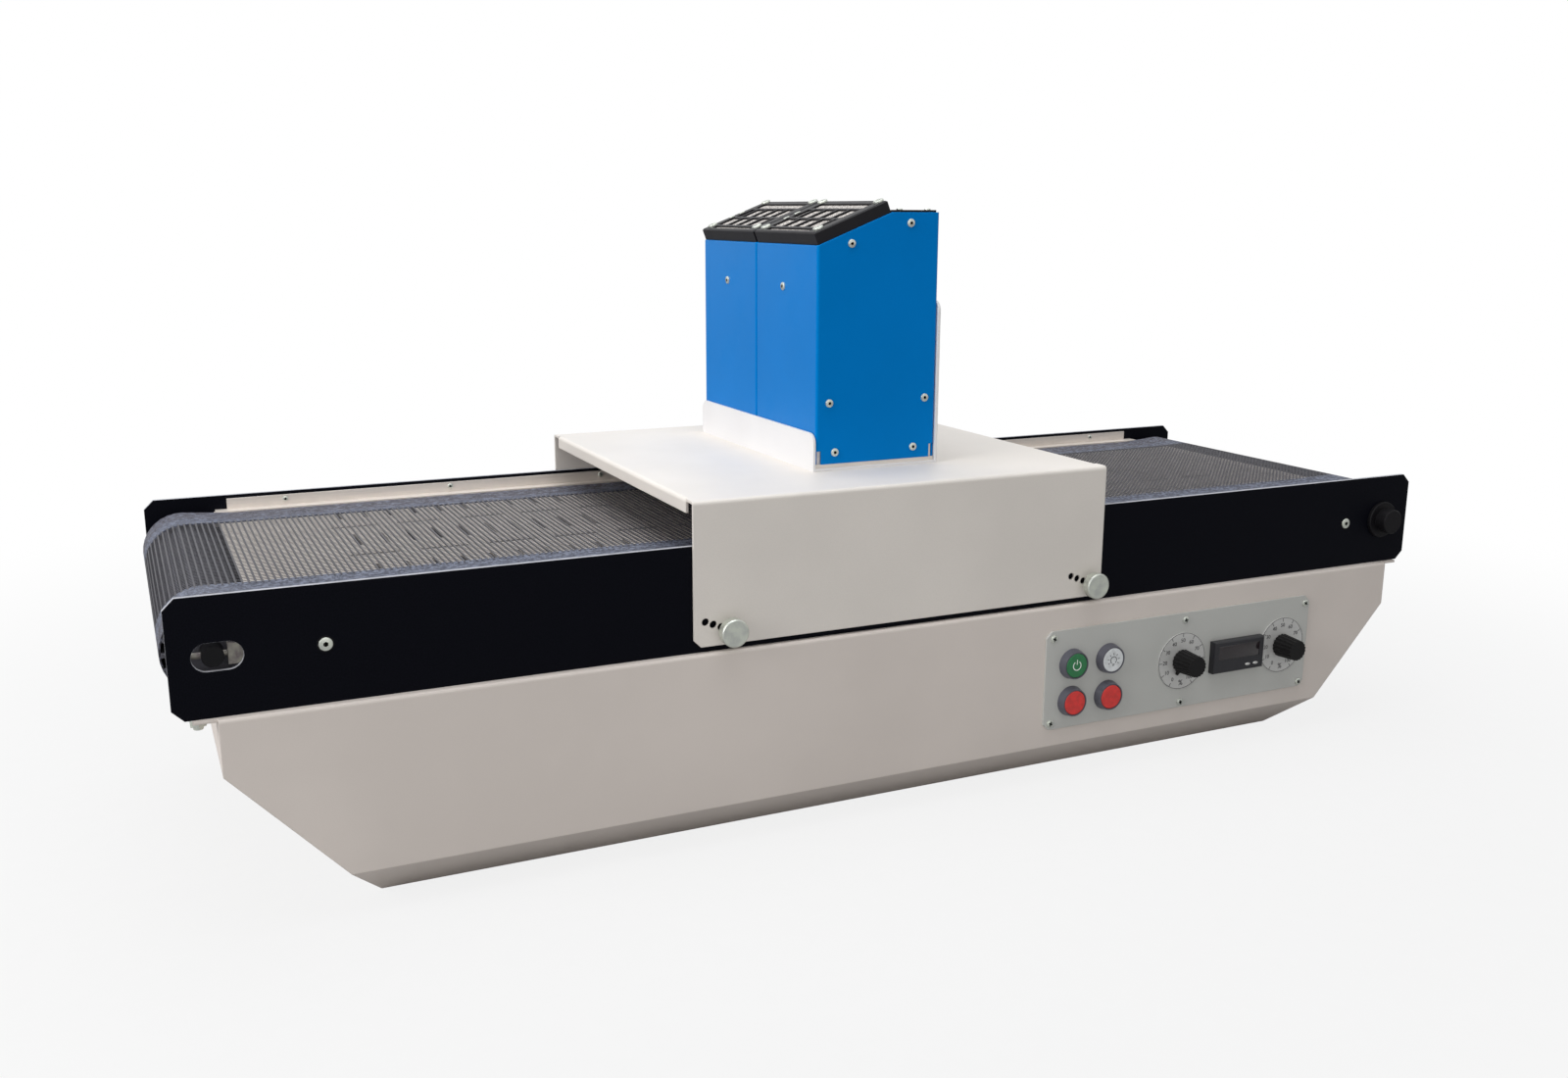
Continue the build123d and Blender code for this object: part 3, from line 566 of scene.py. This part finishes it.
def joined(*shapes):
    """Several shapes made one."""
    whole = bmesh.new()
    for shape in shapes:
        mesh = bpy.data.meshes.new("part")
        shape.to_mesh(mesh)
        shape.free()
        whole.from_mesh(mesh)
        bpy.data.meshes.remove(mesh)
    return whole


def lettering(text, height, place, thick=0.00012):
    """Digits as a thin raised shape at a place."""
    curve = bpy.data.curves.new("digits", "FONT")
    curve.body = text
    curve.size = height
    curve.align_x = "CENTER"
    curve.align_y = "CENTER"
    curve.extrude = thick / 2
    curve.resolution_u = 3
    holder = bpy.data.objects.new("digits", curve)
    mesh = bpy.data.meshes.new_from_object(holder)
    shape = bmesh.new()
    shape.from_mesh(mesh)
    bmesh.ops.remove_doubles(shape, verts=shape.verts, dist=1e-7)
    bmesh.ops.transform(shape, matrix=place, verts=shape.verts)
    bpy.data.objects.remove(holder)
    bpy.data.curves.remove(curve)
    bpy.data.meshes.remove(mesh)
    return shape


# The mesh belt
def loop_path(reach, steps):
    """The belt's closed path at a distance from the roller axes, as points (x, z)."""
    up, low = AXIS_Z + reach, AXIS_Z - reach
    path = [(TAIL_X, up), (TAIL_X + DIP_RUN, up - DIP), (DRIVE_X - DIP_RUN, up - DIP), (DRIVE_X, up)]
    turns = [math.pi * i / steps for i in range(1, steps)]
    path += [(DRIVE_X + reach * math.sin(turn), AXIS_Z + reach * math.cos(turn)) for turn in turns]
    path += [(DRIVE_X, low), (TAIL_X, low)]
    path += [(TAIL_X - reach * math.sin(turn), AXIS_Z - reach * math.cos(turn)) for turn in turns]
    return path


def path_place(before, at, after):
    """A place on the path: X along it, Y across the belt, Z outwards."""
    way = Vector((after[0] - before[0], 0, after[1] - before[1])).normalized()
    out = Vector((-way.z, 0, way.x))
    turn = Matrix((way, Vector((0, 1, 0)), out)).transposed().to_4x4()
    return Matrix.Translation((at[0], 0, at[1])) @ turn


def band(width, thick, reach, steps=18, parts=1):
    """A closed strip of the belt, of a given width, its outer face at a reach."""
    path = loop_path(reach - thick / 2, steps)
    count = len(path)
    places = [path_place(path[i - 1], path[i], path[(i + 1) % count]) for i in range(count)]
    shape = bmesh.new()
    bmesh.ops.create_grid(shape, x_segments=1, y_segments=parts, size=0.5)
    section = Matrix.Diagonal((1.0, width, thick, 1.0)) @ Matrix.Rotation(math.radians(90), 4, "Y")
    bmesh.ops.transform(shape, matrix=places[0] @ section, verts=shape.verts)
    first = shape.faces[:]
    tip = first
    for i in range(count):
        grown = bmesh.ops.extrude_face_region(shape, geom=tip, use_keep_orig=i == 0)["geom"]
        moved = [part for part in grown if isinstance(part, bmesh.types.BMVert)]
        step = places[(i + 1) % count] @ places[i].inverted()
        bmesh.ops.transform(shape, matrix=step, verts=moved)
        tip = [part for part in grown if isinstance(part, bmesh.types.BMFace)]
    bmesh.ops.delete(shape, geom=list(set(first + tip)), context="FACES_ONLY")
    bmesh.ops.remove_doubles(shape, verts=shape.verts, dist=1e-6)
    bmesh.ops.recalc_face_normals(shape, faces=shape.faces)
    return shape


def even_places(reach, pitch):
    """Places spaced evenly round the belt's path."""
    path = loop_path(reach, 40)
    path.append(path[0])
    lengths = [math.dist(a, b) for a, b in zip(path, path[1:])]
    count = round(sum(lengths) / pitch)
    step = sum(lengths) / count
    places, walked = [], 0.0
    for a, b, length in zip(path, path[1:], lengths):
        while len(places) * step < walked + length - 1e-9 and len(places) < count:
            part = (len(places) * step - walked) / length
            at = (a[0] + (b[0] - a[0]) * part, a[1] + (b[1] - a[1]) * part)
            places.append(path_place(a, at, b))
        walked += length
    return places


def press_down(shape):
    """Lowers the edges of the upper run, where the deck steps down beside the rails."""
    for vert in shape.verts:
        x, y, z = vert.co
        if z > AXIS_Z + 0.02:
            lead = max(0.0, min(1.0, (x - TAIL_X) / DIP_RUN, (DRIVE_X - x) / DIP_RUN))
            lean = max(0.0, min(1.0, (abs(y) - 0.0985) / 0.008))
            vert.co.z -= 0.0022 * lead * lean * lean * (3 - 2 * lean)


STRAND_PITCH, STRAND_WIDTH, OPEN_HALF = 0.004, 0.0013, 0.097
lengthwise = round(2 * OPEN_HALF / STRAND_PITCH)
across = [2 * OPEN_HALF * (i / lengthwise - 0.5) for i in range(1, lengthwise)]
strands = copies(band(0.0009, 0.0003, BELT_REACH - 0.00012), [Matrix.Translation((0, y, 0)) for y in across])
cross = bar(STRAND_WIDTH, 2 * OPEN_HALF + 0.006, 0.0005, 0.0001)
crossings = copies(cross, even_places(BELT_REACH - 0.0005, STRAND_PITCH))
band_width = BELT_HALF - OPEN_HALF
edge_bands = copies(band(band_width, BELT_THICK, BELT_REACH, parts=12),
                    [Matrix.Translation((0, side * (BELT_HALF - band_width / 2), 0)) for side in (-1, 1)])
press_down(edge_bands)
for face in edge_bands.faces:
    face.material_index = 1
belt = piece("woven_belt", joined(strands, crossings, edge_bands), (strand_finish, band_finish))
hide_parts("conveyor_belt")


# Screws
zinc = finishes["zinc"]
bolt_places = [facing((x, side * 0.15905, 0.1806), (0, side, 0)) for x in (-0.4104, 0.4292) for side in (-1, 1)]
piece("side_bolts", copies(screw_head(0.0043, 0.0012, 0.0017, 6, 0.0005), bolt_places), zinc)
piece("side_bolt_seats", copies(disc(0.0052, 0.0004), bolt_places), finishes["cap_black"])

panel_screws = [(0.1255, 0.1179), (0.1252, 0.049), (0.3829, 0.1173), (0.3823, 0.0479),
                (0.2544, 0.1178), (0.2538, 0.0483)]
piece("panel_screws", copies(screw_head(0.0029, 0.0013, 0.0017, 4, 0.0007),
                             [panel_place(x, z) @ Matrix.Rotation(0.6 + 5 * x, 4, "Z") for x, z in panel_screws]),
      zinc)

head_points = [(0.032, 0.4306), (-0.0173, 0.416), (-0.0343, 0.3001), (0.0473, 0.3004),
               (-0.0293, 0.2631), (0.038, 0.2631)]
head_places = [facing((x, LAMP_LOW.y, z), (0, -1, 0), 9 * x) for x, z in head_points]
head_places += [facing((x, REAR_HIGH.y, z), (0, 1, 0), 9 * x) for x, z in head_points]
head_places += [facing((LAMP_LOW.x, y, 0.3832), (-1, 0, 0)) for y in (-0.0364, 0.0708)]
piece("lamp_screws", copies(screw_head(0.0031, 0.0013, 0.0013, 6, 0.0008), head_places), zinc)

rail_y = 0.15625 - 0.0018
rail_places = [facing((0.132 * i, side * rail_y, 0.2124), (0, -side, 0)) for i in range(-3, 4) for side in (-1, 1)]
piece("rail_screws", copies(screw_head(0.0022, 0.0009, 0.0011, 6, 0.0005), rail_places), zinc)


under_places = [facing((end * 0.4855, side * 0.148, 0.141), (0, 0, -1)) for end in (-1, 1) for side in (-1, 1)]
piece("flange_nuts", copies(nut_on_bolt(), under_places), zinc)


# Filter frames: corner screws and spring clips
def slope_place(y, along, across_it, proud):
    """A place on one sloping filter frame, measured from its low end and its middle."""
    rise = math.atan2(0.024, 0.0616)
    low = Matrix.Translation((LAMP_LOW.x, y, LAMP_LOW.z + 0.160)) @ Matrix.Rotation(-rise, 4, "Y")
    slope = math.hypot(0.024, 0.0616)
    return low @ Matrix.Translation(((slope - 0.064) / 2 + along, across_it, 0.0095 + proud))


lamp_middles = [(LAMP_LOW.y + LAMP_HIGH.y) / 2, (REAR_LOW.y + REAR_HIGH.y) / 2]
corner_places = [slope_place(y, u, v, 0) for y in lamp_middles for u in (0.0075, 0.0605) for v in (-0.0455, 0.0455)]
piece("filter_screws", copies(screw_head(0.0040, 0.0016, 0.0016, 6, 0.0008), corner_places), zinc)
clip_places = [slope_place(y, u, 0.0445, 0) for y in lamp_middles for u in (0.026, 0.036)]
plate_tops = [facing((x, y, LAMP_HIGH.z + 0.0016), (0, 0, 1)) for x in (0.0255, 0.0495)
              for y in (LAMP_LOW.y + 0.006, LAMP_HIGH.y - 0.006, REAR_LOW.y + 0.006, REAR_HIGH.y - 0.006)]
piece("top_plate_screws", copies(screw_head(0.0024, 0.0010, 0.0011, 6, 0.0005), plate_tops), zinc)
piece("filter_clips", copies(bar(0.0052, 0.0022, 0.0012, 0.0003), clip_places), zinc)


# Dials
def dial_marks(name, x):
    """Ticks and numbers printed on one scale disc, with a thin border."""
    z = 0.0836
    marks = [ring(0.0233, 0.0236, 0.0001, steps=64)]
    for i in range(11):
        turn = math.radians(-150 + 30 * i)
        tick = bar(0.00042, 0.0028, 0.0001)
        bmesh.ops.transform(tick, matrix=Matrix.Rotation(-turn, 4, "Z") @ Matrix.Translation((0, 0.0217, 0)),
                            verts=tick.verts)
        marks.append(tick)
        at = (0.0172 * math.sin(turn), 0.0172 * math.cos(turn), 0.00006)
        marks.append(lettering(str(10 * i), 0.0046, Matrix.Translation(at), 0.0001))
    marks.append(lettering("%", 0.0066, Matrix.Translation((0, -0.0186, 0.00006)), 0.0001))
    whole = joined(*marks)
    bmesh.ops.transform(whole, matrix=panel_place(x, z, 0.0008), verts=whole.verts)
    piece(name, whole, black_ink)


dial_marks("power_dial_marks", 0.2528)
dial_marks("speed_dial_marks", 0.3593)


# Buttons
def on_cap(node, shape):
    """Lays a flat mark on the front face of a button cap."""
    low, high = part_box(node)
    place = Matrix.Translation(((low.x + high.x) / 2, low.y, (low.z + high.z) / 2))
    bmesh.ops.transform(shape, matrix=place @ Matrix.Rotation(math.radians(90), 4, "X"), verts=shape.verts)
    return shape


def moved(shape, matrix):
    bmesh.ops.transform(shape, matrix=matrix, verts=shape.verts)
    return shape


power_mark = joined(
    moved(ring(0.0032, 0.0039, 0.00015, 290.0, 28), Matrix.Rotation(math.radians(125), 4, "Z")),
    moved(bar(0.0007, 0.0040, 0.00015), Matrix.Translation((0, 0.0030, 0))))
piece("power_mark", on_cap("start_button", power_mark), white_ink, "start_push")

rays = [moved(bar(0.00045, 0.0016, 0.00015), Matrix.Rotation(math.radians(turn), 4, "Z")
              @ Matrix.Translation((0, 0.0050, 0))) for turn in (-120, -80, -40, 0, 40, 80, 120)]
lamp_mark = joined(
    moved(ring(0.0026, 0.0031, 0.00015, 290.0, 28), Matrix.Rotation(math.radians(-55), 4, "Z")),
    moved(bar(0.0024, 0.00045, 0.00015), Matrix.Translation((0, -0.0034, 0))),
    moved(bar(0.0020, 0.00045, 0.00015), Matrix.Translation((0, -0.0044, 0))), *rays)
piece("lamp_mark", on_cap("lamp_on_button", lamp_mark), black_ink, "lamp_on_push")


# Meter: a smoked window and two keys
meter_low, meter_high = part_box("speed_meter")
window = bar(0.0430, 0.0120, 0.0012, 0.0002)
meter_x = (meter_low.x + meter_high.x) / 2
moved(window, Matrix.Translation((meter_x, meter_low.y + 0.0014, meter_high.z - 0.0100))
      @ Matrix.Rotation(math.radians(90), 4, "X"))
piece("meter_window", window, glass_face())
key = moved(disc(0.0011, 0.0008, 20, 0.0003), Matrix.Diagonal((2.3, 1.0, 1.0, 1.0)))
key_places = [Matrix.Translation((x, meter_low.y, meter_low.z + 0.0048)) @ Matrix.Rotation(math.radians(90), 4, "X")
              for x in (meter_x + 0.0095, meter_x + 0.0178)]
piece("meter_keys", copies(key, key_places), finishes["scale_silver"])


# Floor
ground = bpy.data.meshes.new("studio_floor")
sheet = bmesh.new()
bmesh.ops.create_circle(sheet, cap_ends=True, segments=64, radius=12.0)
sheet.to_mesh(ground)
sheet.free()
ground.materials.append(floor_finish())
floor = bpy.data.objects.new("studio_floor", ground)
bpy.context.scene.collection.objects.link(floor)

bpy.context.scene.view_settings.view_transform = "Standard"
set_camera()
set_world()
lamp("overhead", (-0.2, 0.1, 2.3), (0.0, 0.0, 0.1), (2.4, 2.0), 40.0, (0.96, 0.98, 1.0))
lamp("left", (-2.2, -0.4, 1.1), (0.0, 0.0, 0.2), (1.6, 1.4), 30.0, (1.0, 0.99, 0.98))
lamp("front", (-0.3, -2.4, 0.9), (0.0, 0.0, 0.15), (1.8, 1.2), 6.0, (1.0, 0.97, 0.94))
